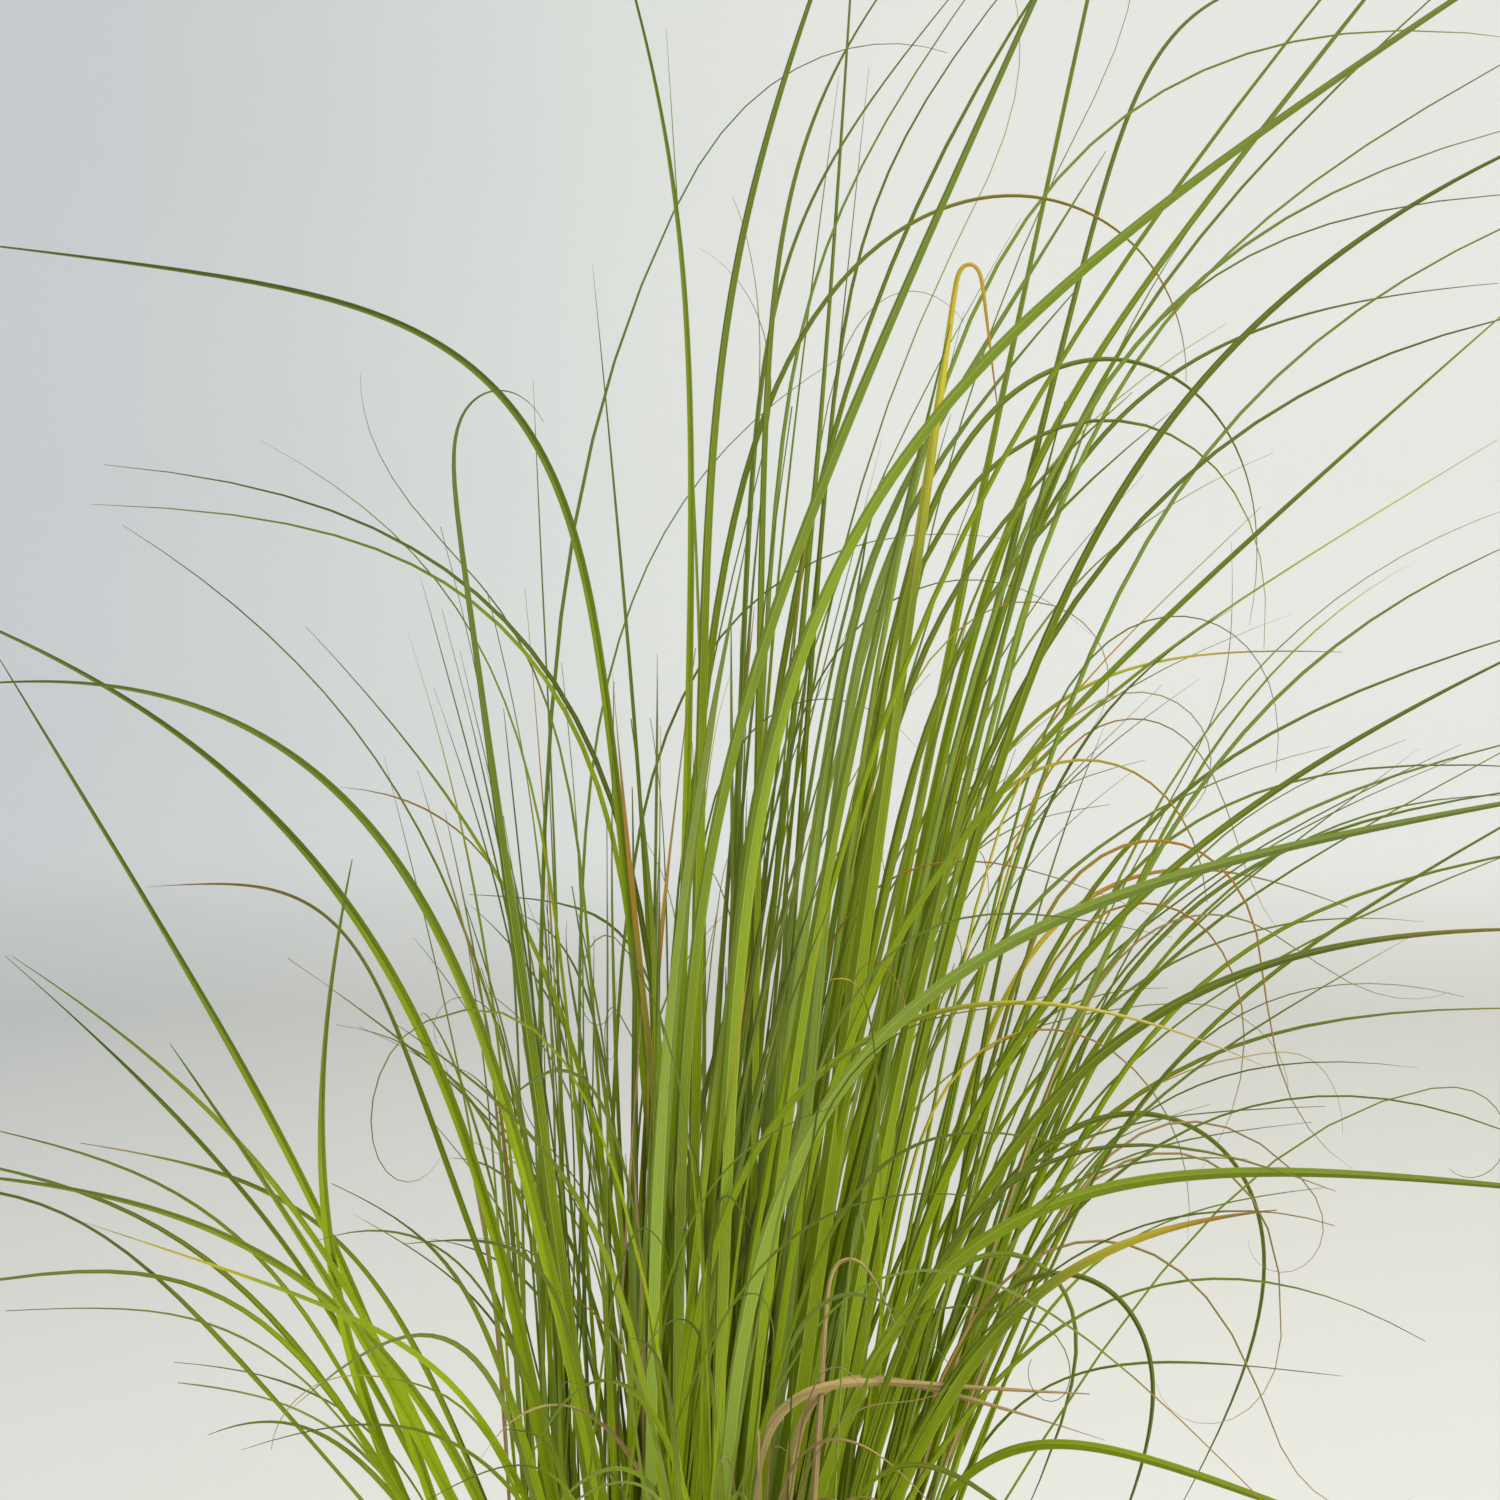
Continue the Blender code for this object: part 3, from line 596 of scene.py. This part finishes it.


# %% [markdown]
# ## The leaf's skin
# Close up, a grass blade is a set of fine ribs running its whole length, with
# a paler midrib.  Its upper side is fresh green and its underside waxy and
# rougher.  The underside is painted a deeper green, which is painted shade, and
# both sides are painted darker and greyer towards the tip, which is painted
# shade too.  A pale line is painted along the midrib and along both edges: the
# midrib is paler in fact, and the lines also stand for painted highlights.  The
# foot fades to the straw of the sheath.  Old tips go yellow, then orange, then
# brown, and the edges turn before the middle does.  All of that follows the
# blade, so it is drawn on the blade's own map, and what changes from leaf to
# leaf is read from its face notes.

# %% Finish: leaf
DEEP_GREEN = (0.042, 0.062, 0.007)
FRESH_GREEN = (0.305, 0.405, 0.004)
WAXY_GREEN = (0.235, 0.330, 0.075)
SHADED_TIP_GREEN = (0.090, 0.105, 0.050)
OLIVE = (0.27, 0.225, 0.030)
PALE_RIB_AND_HIGHLIGHT = (0.42, 0.50, 0.09)
SHEATH_STRAW = (0.44, 0.46, 0.10)
YELLOW = (0.58, 0.50, 0.045)
ORANGE = (0.40, 0.200, 0.028)
BROWN = (0.15, 0.095, 0.040)
STRAW = (0.56, 0.43, 0.17)


def leaf_finish(name, ribs):
    skin = Finish(name, Specular_IOR_Level=0.06)
    row, along, _ = skin.split(skin.node("ShaderNodeUVMap", {"uv_map": "leaf"}))
    across = row.sum("FRACT", row)
    off_middle = across.sum("ABSOLUTE", across - 0.5)
    under, tint, dry, pale = (skin.note(note) for note in FACE_NOTES)

    streaks = skin.grain(skin.join(row * 26.0, along * 5.0, tint * 9.0), 1.0, 3.0)
    patches = skin.grain(skin.join(row * 2.0, along * 7.0, tint * 31.0), 1.0, 2.0)
    rib_wave = across.sum("SINE", across * (ribs * math.tau)) * 0.5 + 0.5
    midrib = 1 - skin.rise(off_middle, 0.02, 0.07)

    # Painted shade: the minus-along term darkens every blade towards its tip; tint, patches and
    # streaks are the leaf's own tone.
    freshness_with_tip_shade = tint * 0.9 + 0.60 - along * 1.0 + (patches - 0.5) * 0.8 + (streaks - 0.5) * 0.8
    green = skin.mix(DEEP_GREEN, FRESH_GREEN, skin.rise(freshness_with_tip_shade, -0.1, 1.0))
    # Painted shade: the underside is darkened towards deep green.
    green = skin.mix(green, DEEP_GREEN, under * 0.40)
    green = skin.mix(green, WAXY_GREEN, pale * 0.85)
    # Painted shade: the blade turns a darker grey-green towards the tip.
    green = skin.mix(green, SHADED_TIP_GREEN, skin.rise(along, 0.35, 0.95) * 0.60)
    edge_highlight = skin.rise(off_middle, 0.42, 0.47)
    green = skin.mix(green, FRESH_GREEN, rib_wave * 0.35)
    # Painted highlight on both edges; the pale midrib is partly real and partly painted highlight.
    green = skin.mix(green, PALE_RIB_AND_HIGHLIGHT, (midrib * 0.45 + edge_highlight * 0.25) * (1 - along * 0.5))
    green = skin.mix(SHEATH_STRAW, green, skin.rise(along + (streaks - 0.5) * 0.05, 0.0, 0.09))

    reach = along - 1 + dry + (streaks - 0.5) * 0.16 + (patches - 0.5) * 0.10 + off_middle * 0.10
    turning = skin.mix(OLIVE, YELLOW, skin.rise(tint, 0.40, 0.70))
    ripe = skin.mix(green, turning, skin.rise(reach, -0.24, 0.03))
    ripe = skin.mix(ripe, skin.mix(ORANGE, STRAW, skin.rise(tint, 0.80, 0.95)),
                    skin.rise(reach, -0.07, 0.12))
    ripe = skin.mix(ripe, skin.mix(BROWN, STRAW, patches), skin.rise(reach, 0.07, 0.30))
    specks = skin.rise(skin.grain(skin.join(row * 9.0, along * 60.0, tint * 5.0), 1.0, 1.0),
                       0.70, 0.78)
    colour = skin.mix(ripe, BROWN, specks * 0.35)

    skin.bump(rib_wave * 0.5 + midrib * 0.6 + streaks * 0.4, 0.0002, 0.7)
    return skin.use(colour, 0.50 + streaks * 0.16 + under * 0.12 + skin.rise(reach, 0.0, 0.2) * 0.22)


broad_skin = leaf_finish("leaf_skin_broad", ribs=9)
thin_skin = leaf_finish("leaf_skin_thin", ribs=4)
print("leaf finishes:", broad_skin.name, thin_skin.name)

# %% [markdown]
# ## What each leaf looks like
# Leaves on the lit side are painted yellower and brighter, which is painted
# light, the short ones in the middle are waxier, and the upright ones are
# deeper green.  Some leaves are named here because they have turned at the tip,
# or are greener, yellower or waxier than the rest of their group.  Chance then
# varies every leaf a little.

# %% Choose looks and bend the broad leaves
# Painted light: the right-hand group, on the lit side, gets the highest tint, so it is yellower and
# brighter.
GROUP_LOOK = {"left": (0.50, 0.15), "upright": (0.45, 0.10), "right": (0.74, 0.04),
              "middle": (0.66, 0.20)}   # how yellow and how waxy each group is
GROUP_SLOT = {"left": "leaf_green", "upright": "leaf_deep_green", "right": "leaf_yellow_green",
              "middle": "leaf_pale_green"}
TURNED = {"leaf_left_05": 0.10, "leaf_upright_10": 0.06, "leaf_upright_11": 0.10,
          "leaf_right_05": 0.12, "leaf_right_08": 0.34, "leaf_right_09": 0.0,
          "leaf_right_11": 0.15, "leaf_right_12": 0.12, "leaf_right_04": -0.05,
          "leaf_right_15": 0.10, "leaf_left_10": 0.05}
TINTS = {"leaf_left_01": 0.25, "leaf_left_02": 0.45, "leaf_left_05": 0.2,
         "leaf_upright_04": 0.1, "leaf_right_01": 0.45, "leaf_right_02": 0.25,
         "leaf_right_03": 0.2, "leaf_right_09": 0.2, "leaf_right_10": 1.0,
         "leaf_right_12": 1.0, "leaf_right_13": 0.0, "leaf_right_14": 0.0}
WAXY = {"leaf_right_07": 0.75, "leaf_middle_01": 0.80, "leaf_upright_05": 0.45,
        "leaf_upright_07": 0.40, "leaf_right_10": 0.15}
chance = random.Random("broad leaves")
for name, (leaves, node) in everything.items():
    if not node.startswith("leaf"):
        continue
    group = node.split("_")[1]
    tint, pale = GROUP_LOOK[group]
    tint = TINTS.get(node, tint)
    look = {"seed": chance.random(), "tint": min(1.0, max(0.0, tint + chance.gauss(0, 0.16))),
            "dry": TURNED.get(node, -0.3), "pale": WAXY.get(node, pale * chance.uniform(0.2, 1.2))}
    mesh = joined(name, [bend(broad_blank, BROAD_STEPS, leaves[0], look, 0, 1)])
    finished(name, mesh, broad_skin, [node], GROUP_SLOT[group])
print(len(LEAVES), "broad leaves bent")

# %% [markdown]
# ## Bending the thin leaves
# A tuft is one piece, because nobody would pull its hairs apart.  Thin leaves
# vary more in colour than broad ones, and some are dead from end to end: the
# straw ones at the front, and a few hairs that curl low on the right.

# %% Bend the tufts
for name, (leaves, node) in everything.items():
    if not node.startswith("tuft"):
        continue
    chance = random.Random(name + " look")
    blades = []
    for column, leaf in enumerate(leaves):
        turned = chance.choices((-0.3, chance.uniform(-0.1, 0.12), chance.uniform(0.2, 0.5), 1.3),
                                (70, 22, 4, 6 if leaf.length < 0.24 else 0))[0]
        if leaf.dry is not None:
            turned = leaf.dry
        elif node == "tuft_dry":
            turned = 1.3
        elif column < len(THIN.get(node, [])):
            turned = -0.3
        look = {"seed": chance.random(), "tint": chance.betavariate(1.3, 1.5), "dry": turned,
                "pale": chance.choice((0.0, 0.0, 0.0, 0.2, 0.75))}
        blades.append(bend(thin_blank, THIN_STEPS, leaf, look, column, len(leaves), fold=0.1))
    finished(name, joined(name, blades), thin_skin, [node],
             "dry_leaf" if node == "tuft_dry" else "fine_leaf_green")
print(len(TUFTS), "tufts bent")

# %% [markdown]
# ## The crown
# The leaves do not rise from bare ground.  Each one comes out of a short
# sheath, and hundreds of old sheaths are packed into a low mound.  The mound
# is a turned profile roughened with noise, and the sheaths are bent copies of
# a short blank: one at every leaf, and dead stubs between them.

# %% The mound
TURNS = 96                      # facets around every turned shape


def turned(profile, weld=1e-6):
    """Spin (radius, height) points around the upright axis into a round shape."""
    shape = bmesh.new()
    points = [shape.verts.new((radius, 0.0, height)) for radius, height in profile]
    edges = [shape.edges.new(pair) for pair in zip(points, points[1:])]
    bmesh.ops.spin(shape, geom=points + edges, axis=(0, 0, 1), cent=(0, 0, 0),
                   angle=math.tau, steps=TURNS, use_merge=True)
    bmesh.ops.remove_doubles(shape, verts=shape.verts, dist=weld)
    bmesh.ops.recalc_face_normals(shape, faces=shape.faces)
    for face in shape.faces:
        face.smooth = True
    return shape


def as_mesh(name, shape):
    mesh = bpy.data.meshes.new(name)
    shape.to_mesh(mesh)
    shape.free()
    return mesh


crown_low, crown_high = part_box("crown")
crown_radius = crown_high.x
mound = turned([(0, crown_low.z)]
               + [(crown_radius * (0.90 + 0.09 * math.sin(step / 6 * math.pi)),
                   crown_low.z + (crown_high.z - crown_low.z) * step / 7) for step in range(7)]
               + [(crown_radius * (0.86 - 0.86 * step / 16), crown_high.z - 0.002)
                  for step in range(17)])
for vert in mound.verts:
    if vert.co.z > crown_low.z + 0.001:
        rough = noise.fractal(vert.co * 160, 0.8, 2.1, 4) * 0.0022
        vert.co += Vector((vert.co.x, vert.co.y, 0.05)).normalized() * rough
        vert.co.z -= abs(rough)
print("mound:", len(mound.faces), "faces")

# %% Sheaths and stubs
sheath_blank = blank_blade(sides=6, steps=SHEATH_STEPS)
chance = random.Random("sheaths")
sheaths = []
stems = [leaf for leaves, _ in everything.values() for leaf in leaves]
for number, leaf in enumerate(stems):
    sheath = leaf._replace(length=chance.uniform(0.022, 0.046), bend=2.0,
                           width=leaf.width * 1.15 + 0.0018, knee=0.5, soft=0.2, swing=0, curl=0,
                           twist=10)
    look = {"seed": chance.random(), "tint": chance.random(),
            "dry": chance.choice((0.2, 0.55, 1.3)), "pale": 0.2}
    sheaths.append(bend(sheath_blank, SHEATH_STEPS, sheath, look, number, len(stems),
                        fold=0.30, height=crown_top - 0.004))
crown_sheaths = joined("crown_sheaths", sheaths)

STUBS = 260
stubs = []
for number in range(STUBS):
    turn, reach = chance.uniform(0, math.tau), CROWN_REACH * math.sqrt(chance.random())
    lean = 62 * (reach / CROWN_REACH) ** 1.5 + chance.gauss(0, 9)
    stub = Leaf((reach * math.cos(turn), reach * math.sin(turn)),
                math.degrees(turn) + chance.gauss(0, 30), lean, chance.uniform(0, 50), 0.6, 0.2,
                chance.uniform(0.010, 0.045), chance.uniform(0.0016, 0.0046),
                chance.uniform(0, 90), chance.uniform(-60, 60))
    look = {"seed": chance.random(), "tint": chance.random(), "dry": 1.3, "pale": 0.0}
    stubs.append(bend(sheath_blank, SHEATH_STEPS, stub, look, number, STUBS,
                      height=crown_top - 0.003))
crown_stubs = joined("crown_stubs", stubs)
print(len(stems), "sheaths,", STUBS, "dead stubs")

# %% Finish: sheath and crown
fibre = Finish("crown_fibre", Specular_IOR_Level=0.25)
spot = fibre.spot()
coarse = fibre.grain(spot, 90.0, 4.0, 0.6)
fine_fibre = fibre.grain(spot, 420.0, 3.0, 1.2)
fibre_colour = fibre.mix((0.055, 0.034, 0.018), (0.34, 0.23, 0.11),
                         fibre.rise(coarse + (fine_fibre - 0.5) * 0.8, 0.35, 0.75))
fibre.bump(coarse * 0.5 + fine_fibre * 0.5, 0.0012, 0.8)
crown_fibre = fibre.use(fibre_colour, 0.78 + fine_fibre * 0.2)
finished("crown_mound", as_mesh("crown_mound", mound), crown_fibre, ["crown"], "sheath_base")
finished("crown_sheaths", crown_sheaths, thin_skin, (), "sheath_base")
finished("crown_stubs", crown_stubs, thin_skin, (), "dry_leaf")

# %% [markdown]
# ## The potting soil
# Potting mix is dark, loose and crumbly.  Its body is a turned plug whose top
# is roughened, and a few hundred crumbs of six shapes and five sizes lie on
# it, most of them in the ring of bare soil between the crown and the rim.

# %% The plug of soil and its crumbs
soil_low, soil_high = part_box("soil")
soil_radius = soil_high.x
CRUMBS, CRUMB_SHAPES = 620, 6
SIDE_STEPS, TOP_STEPS = 10, 30
floor_radius = max(vert.co.xy.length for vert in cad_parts["soil"].data.vertices
                   if vert.co.z < soil_low.z + 0.001)
plug = turned([(0, soil_low.z)]
              + [(floor_radius + (soil_radius - floor_radius) * step / SIDE_STEPS,
                  soil_low.z + (soil_high.z - 0.004 - soil_low.z) * step / SIDE_STEPS)
                 for step in range(SIDE_STEPS + 1)]
              + [(soil_radius * (1 - step / TOP_STEPS) - 0.001 * (step < 1), soil_high.z - 0.002)
                 for step in range(TOP_STEPS + 1)])
for vert in plug.verts:
    if vert.co.z > soil_high.z - 0.003:
        vert.co.z += noise.fractal(vert.co * 120, 0.7, 2.2, 4) * 0.0020
chance = random.Random("crumbs")
crumb_kinds = []
for kind in range(CRUMB_SHAPES):
    crumb = bmesh.new()
    bmesh.ops.create_icosphere(crumb, subdivisions=1, radius=1.0)
    for vert in crumb.verts:
        vert.co *= 1 + 0.45 * noise.noise(vert.co * 1.3 + Vector((kind * 7.1, 0, 0)))
    for face in crumb.faces:
        face.smooth = False
    crumb_kinds.append(crumb)
crumbs = []
while len(crumbs) < CRUMBS:
    turn = chance.uniform(0, math.tau)
    reach = chance.uniform(0.070, soil_radius - 0.003)
    size = chance.choice((0.0006, 0.0009, 0.0013, 0.0018, 0.0025))
    if reach + size > soil_radius - 0.001:
        continue
    crumb = chance.choice(crumb_kinds).copy()
    bmesh.ops.scale(crumb, vec=(size, size * chance.uniform(0.6, 1), size * 0.7), verts=crumb.verts)
    bmesh.ops.rotate(crumb, verts=crumb.verts, cent=(0, 0, 0),
                     matrix=Matrix.Rotation(chance.uniform(0, math.tau), 3,
                                            (chance.random(), chance.random(), 1)))
    bmesh.ops.translate(crumb, verts=crumb.verts,
                        vec=(reach * math.cos(turn), reach * math.sin(turn),
                             soil_high.z - 0.002 + size * 0.45))
    crumbs.append(crumb)
soil_crumbs = joined("soil_crumbs", crumbs)
print("soil:", len(plug.faces), "faces and", CRUMBS, "crumbs")

# %% Finish: soil
earth = Finish("potting_soil", Specular_IOR_Level=0.2)
spot = earth.spot()
clods = earth.grain(spot, 130.0, 5.0, 0.4)
grit = earth.grain(spot, 700.0, 2.0)
earth_colour = earth.mix((0.016, 0.010, 0.006), (0.085, 0.052, 0.030), earth.rise(clods, 0.3, 0.7))
earth_colour = earth.mix(earth_colour, (0.20, 0.14, 0.085), earth.rise(grit, 0.62, 0.75) * 0.5)
earth.bump(clods * 0.6 + grit * 0.4, 0.0015, 0.9)
soil_finish = earth.use(earth_colour, 0.86 + grit * 0.12)
finished("soil_plug", as_mesh("soil_plug", plug), soil_finish, ["soil"], "soil")
finished("soil_crumbs", soil_crumbs, soil_finish, (), "soil")

# %% [markdown]
# ## The clay pot
# A thrown pot is a profile turned on a wheel, so it is spun here too, and its
# hard corners are eased with a bevel, as a potter's sponge does.  The drain
# holes are cut through the floor afterwards, again as a potter would.

# %% Turn the pot and cut its drain holes
pot_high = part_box("pot")[1]
POT_HEIGHT, RIM_HEIGHT, RIM_RADIUS = pot_high.z, 0.030, pot_high.x
FOOT_RADIUS, TOP_RADIUS, WALL, FLOOR, EASE = 0.066, 0.094, 0.008, 0.010, 0.002
DRAIN_HOLES, DRAIN_RADIUS, DRAIN_CIRCLE = 4, 0.006, 0.034
collar = POT_HEIGHT - RIM_HEIGHT


def wall(height):
    return FOOT_RADIUS + (TOP_RADIUS - FOOT_RADIUS) * height / collar


def inside(height):
    return wall(height) - WALL


corners = [(0, 0), (FOOT_RADIUS, 0)]
corners += [(wall(height), height) for height in (0.02, 0.05, 0.08, 0.11, 0.14, collar)]
corners += [(RIM_RADIUS - 0.0028, collar), (RIM_RADIUS, POT_HEIGHT),
            (inside(POT_HEIGHT) + 0.0006, POT_HEIGHT)]
corners += [(inside(height), height) for height in (0.17, 0.14, 0.10, 0.06, FLOOR)]
corners += [(0, FLOOR)]
pot = turned(corners)
hard = [edge for edge in pot.edges
        if len(edge.link_faces) == 2 and edge.calc_face_angle(0) > math.radians(24)
        and edge.verts[0].co.xy.length > 0.01]
bmesh.ops.bevel(pot, geom=hard, offset=EASE, segments=4, profile=0.5, affect="EDGES",
                material=-1)
for face in pot.faces:
    face.smooth = True
pot_mesh = as_mesh("clay_pot", pot)
blank_pot = bpy.data.objects.new("pot_before_cutting", pot_mesh)
bpy.context.scene.collection.objects.link(blank_pot)
drill = bmesh.new()
for hole in range(DRAIN_HOLES):
    turn = math.tau * (hole + 0.5) / DRAIN_HOLES
    middle = (DRAIN_CIRCLE * math.cos(turn), DRAIN_CIRCLE * math.sin(turn), 0)
    bmesh.ops.create_cone(drill, cap_ends=True, segments=28, radius1=DRAIN_RADIUS,
                          radius2=DRAIN_RADIUS, depth=0.04, matrix=Matrix.Translation(middle))
drill_bit = bpy.data.objects.new("drill_bit", as_mesh("drill_bit", drill))
bpy.context.scene.collection.objects.link(drill_bit)
cut = blank_pot.modifiers.new("drain_holes", "BOOLEAN")
cut.operation, cut.solver, cut.object = "DIFFERENCE", "EXACT", drill_bit
bpy.context.view_layer.update()
cut_mesh = bpy.data.meshes.new_from_object(
    blank_pot.evaluated_get(bpy.context.evaluated_depsgraph_get()))
cut_mesh.name = "clay_pot"
for spare in (blank_pot, drill_bit):
    bpy.data.objects.remove(spare)
cut_mesh.set_sharp_from_angle(angle=math.radians(40))
print("pot:", len(cut_mesh.polygons), "faces")

# %% [markdown]
# Terracotta is never one colour.  It carries faint rings from the wheel,
# cloudy patches from the kiln, pores, and a chalky bloom where water has
# dried: under the rim and near the foot.

# %% Finish: clay
clay = Finish("fired_clay", Specular_IOR_Level=0.3)
spot = clay.spot()
height = clay.split(spot)[2]
clouds = clay.grain(spot, 16.0, 4.0, 0.5)
pores = clay.grain(spot, 900.0, 2.0)
rings = clay.grain(clay.join(0.0, 0.0, height * 260.0), 1.0, 3.0)
bloom = clay.rise(clouds + (1 - clay.rise(height, 0.0, 0.045)) * 0.22
                  + clay.rise(height, 0.135, 0.156) * 0.12 + (pores - 0.5) * 0.25, 0.56, 0.86)
clay_colour = clay.mix((0.33, 0.115, 0.050), (0.56, 0.235, 0.115),
                       clay.rise(clouds + (rings - 0.5) * 0.5, 0.25, 0.75))
clay_colour = clay.mix(clay_colour, (0.72, 0.60, 0.50), bloom * 0.55)
clay_colour = clay.mix(clay_colour, (0.20, 0.075, 0.04), clay.rise(pores, 0.66, 0.78) * 0.5)
clay.bump(rings * 0.6 + clouds * 0.5 - clay.rise(pores, 0.66, 0.8) * 0.35, 0.0007, 0.7)
fired_clay = clay.use(clay_colour, 0.74 + bloom * 0.16 + (pores - 0.5) * 0.1)
finished("clay_pot", cut_mesh, fired_clay, ["pot"], "clay")

# %% [markdown]
# ## Stage, light and camera
# The clump stands on a pale floor that curves up far away on all sides.  Its
# colour carries painted light and shade: bluish grey and darker on the left,
# warm white on the right, and darker on the flat floor than where it rises.  One
# large soft light comes from the upper right, a weaker one fills from the left,
# and the sky is pale.  The camera looks straight across at the middle of the
# leaves, close enough that the pot is below the frame.

# %% Floor
floor_profile = [(0, 0), (2, 0), (4.5, 0), (5.6, 0.12), (6.6, 0.5), (7.4, 1.2), (7.9, 2.2),
                 (8.1, 3.6), (8.2, 5.4)]
stage = turned(floor_profile, weld=1e-5)
floor = bpy.data.objects.new("floor", as_mesh("floor", stage))
bpy.context.scene.collection.objects.link(floor)
paper = Finish("pale_paper", Specular_IOR_Level=0.1)
sideways, _, upward = paper.split(paper.spot())
# Painted light and shade: the side mask makes the floor bluish grey and darker on the left and warm
# white on the right.
side = paper.rise(sideways, -2.2, 0.7)
wall_colour_painted_light_shade = paper.mix((0.68, 0.715, 0.735), (0.925, 0.93, 0.885), side)
# Painted shade: the flat ground is darker than the wall that rises from it.
ground_colour_painted_shade = paper.mix((0.49, 0.505, 0.49), (0.665, 0.65, 0.58), side)
paper.use(paper.mix(ground_colour_painted_shade, wall_colour_painted_light_shade, paper.rise(upward, -0.15, 0.25)), 0.95)
floor.data.materials.append(paper.material)

# %% Light
world = bpy.data.worlds.new("pale_sky")
world.use_nodes = True
world.node_tree.nodes["Background"].inputs["Color"].default_value = (0.97, 0.985, 1.0, 1.0)
world.node_tree.nodes["Background"].inputs["Strength"].default_value = 0.68
bpy.context.scene.world = world


def soft_light(name, place, size, power, colour):
    lamp = bpy.data.lights.new(name, "AREA")
    lamp.shape, lamp.size, lamp.energy, lamp.color = "DISK", size, power, colour
    light = bpy.data.objects.new(name, lamp)
    light.location = place
    light.rotation_euler = (Vector((0, 0, 0.45)) - Vector(place)).to_track_quat("-Z", "Y").to_euler()
    bpy.context.scene.collection.objects.link(light)


soft_light("key_light", (3.2, -3.6, 4.4), 2.4, 330, (1.0, 0.98, 0.95))
soft_light("fill_light", (-2.2, -1.2, 1.5), 2.0, 18, (0.93, 0.96, 1.0))

# %% Camera
camera = bpy.data.objects.new("camera", bpy.data.cameras.new("camera"))
camera.data.sensor_width = 36.0
camera.data.lens = 71.0
camera.data.clip_start = 0.05
camera.location = (0.0192, -0.95, 0.470)
camera.rotation_euler = (math.radians(90), 0, 0)
bpy.context.scene.collection.objects.link(camera)
bpy.context.scene.camera = camera
bpy.context.scene.view_settings.view_transform = "Standard"
